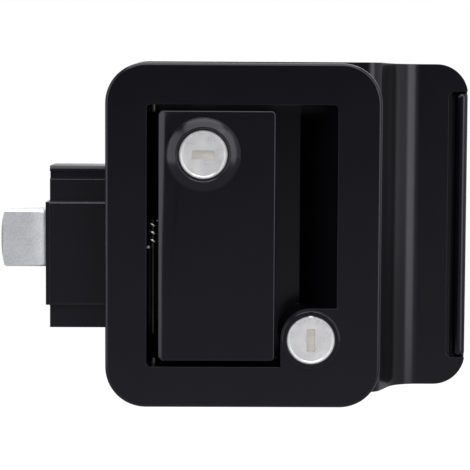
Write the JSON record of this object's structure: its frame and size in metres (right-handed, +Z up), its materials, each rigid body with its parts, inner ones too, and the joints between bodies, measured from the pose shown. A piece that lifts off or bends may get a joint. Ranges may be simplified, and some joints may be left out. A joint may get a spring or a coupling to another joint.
{
  "type": "door lock",
  "caption": "Flush entry door lock for a caravan: keyed pull paddle, slam latch, deadbolt with thumb turn, and a room-side plate with release paddle and pull wing",
  "frame": {"origin": "centre of the door cut-out, in the plane of the door's street-side skin", "axes": "+X along the door away from the bolt edge, +Y through the door into the vehicle, +Z up"},
  "size_m": [0.1711, 0.0843, 0.122],
  "materials": {
    "black_coat": "satin black powder coat on zinc die casting",
    "case_coat": "satin black coat on zinc die casting",
    "lock_face": "nickel plated, fine turned",
    "key_shutter": "dull stamped shutter",
    "lock_sleeve": "zinc casting, bare",
    "cast_bolt": "bright zinc plate over casting",
    "zinc_steel": "zinc plated steel",
    "spring_steel": "bright spring wire",
    "pin_steel": "yellow passivated pin",
    "screw_steel": "zinc plated screws"
  },
  "bodies": {
    "housing": {"outer_bezel": "black_coat", "outer_hinge_pin": "pin_steel", "outer_paddle_spring": "spring_steel", "deadbolt_lock_sleeve": "lock_sleeve", "latch_case": "case_coat", "case_cover": "case_coat", "latch_spring": "spring_steel", "inner_plate": "black_coat", "inner_hinge_pin": "pin_steel", "inner_paddle_spring": "spring_steel", "mounting_screws": "screw_steel", "case_screws": "screw_steel", "cover_screws": "screw_steel"},
    "pull_paddle": {"outer_paddle": "black_coat", "paddle_lock_sleeve": "lock_sleeve"},
    "paddle_key": {"paddle_lock_plug": "lock_face", "paddle_key_shutter": "key_shutter", "paddle_lock_clip": "spring_steel", "paddle_lock_cam": "zinc_steel", "paddle_cam_screw": "screw_steel"},
    "release_paddle": {"inner_paddle": "black_coat"},
    "latch": {"latch_bolt": "cast_bolt", "latch_carriage": "zinc_steel", "latch_rivets": "zinc_steel"},
    "deadbolt_key": {"deadbolt_lock_plug": "lock_face", "deadbolt_key_shutter": "key_shutter", "deadbolt_lock_clip": "spring_steel", "deadbolt_tailpiece": "zinc_steel"},
    "thumb_turn_drive": {"thumb_turn": "black_coat", "thumb_turn_spindle": "zinc_steel", "deadbolt_crank": "zinc_steel"},
    "deadbolt_bar": {"deadbolt": "cast_bolt", "deadbolt_slide": "zinc_steel", "deadbolt_rivets": "zinc_steel"}
  },
  "joints": [
    {"name": "pull_paddle_hinge", "type": "hinge", "parent": "housing", "child": "pull_paddle", "pos_m": [-0.0313, 0.0035, 0], "axis": [0, 0, -1], "range_deg": [0, 32], "stiffness_Nm_per_rad": 0.12, "springref_deg": -28.65, "deforming": ["outer_paddle_spring"]},
    {"name": "latch_slide", "type": "slide", "parent": "housing", "child": "latch", "axis": [1, 0, 0], "range_m": [0, 0.0146], "stiffness_N_per_m": 250, "springref_m": -0.02, "deforming": ["latch_spring"]},
    {"name": "paddle_key_turn", "type": "hinge", "parent": "pull_paddle", "child": "paddle_key", "pos_m": [-0.0139, -0.0063, 0.028], "axis": [0, -1, 0], "range_deg": [0, 90]},
    {"name": "release_paddle_hinge", "type": "hinge", "parent": "housing", "child": "release_paddle", "pos_m": [-0.0313, 0.055, 0], "axis": [0, 0, 1], "range_deg": [0, 32], "stiffness_Nm_per_rad": 0.12, "springref_deg": -28.65, "deforming": ["inner_paddle_spring"]},
    {"name": "deadbolt_key_turn", "type": "hinge", "parent": "housing", "child": "deadbolt_key", "pos_m": [0.0235, -0.0057, -0.0359], "axis": [0, -1, 0], "range_deg": [0, 90]},
    {"name": "thumb_turn_turn", "type": "hinge", "parent": "housing", "child": "thumb_turn_drive", "pos_m": [0.0235, 0.0635, -0.0359], "axis": [0, -1, 0], "range_deg": [0, 90]},
    {"name": "deadbolt_throw", "type": "slide", "parent": "housing", "child": "deadbolt_bar", "axis": [-1, 0, 0], "range_m": [0, 0.01343]}
  ],
  "couplings": [
    {"joint": "latch_slide", "follows": "pull_paddle_hinge", "m_per_rad": 0.026093},
    {"joint": "deadbolt_key_turn", "follows": "deadbolt_throw", "rad_per_m": 116.92},
    {"joint": "thumb_turn_turn", "follows": "deadbolt_throw", "rad_per_m": 116.92}
  ]
}
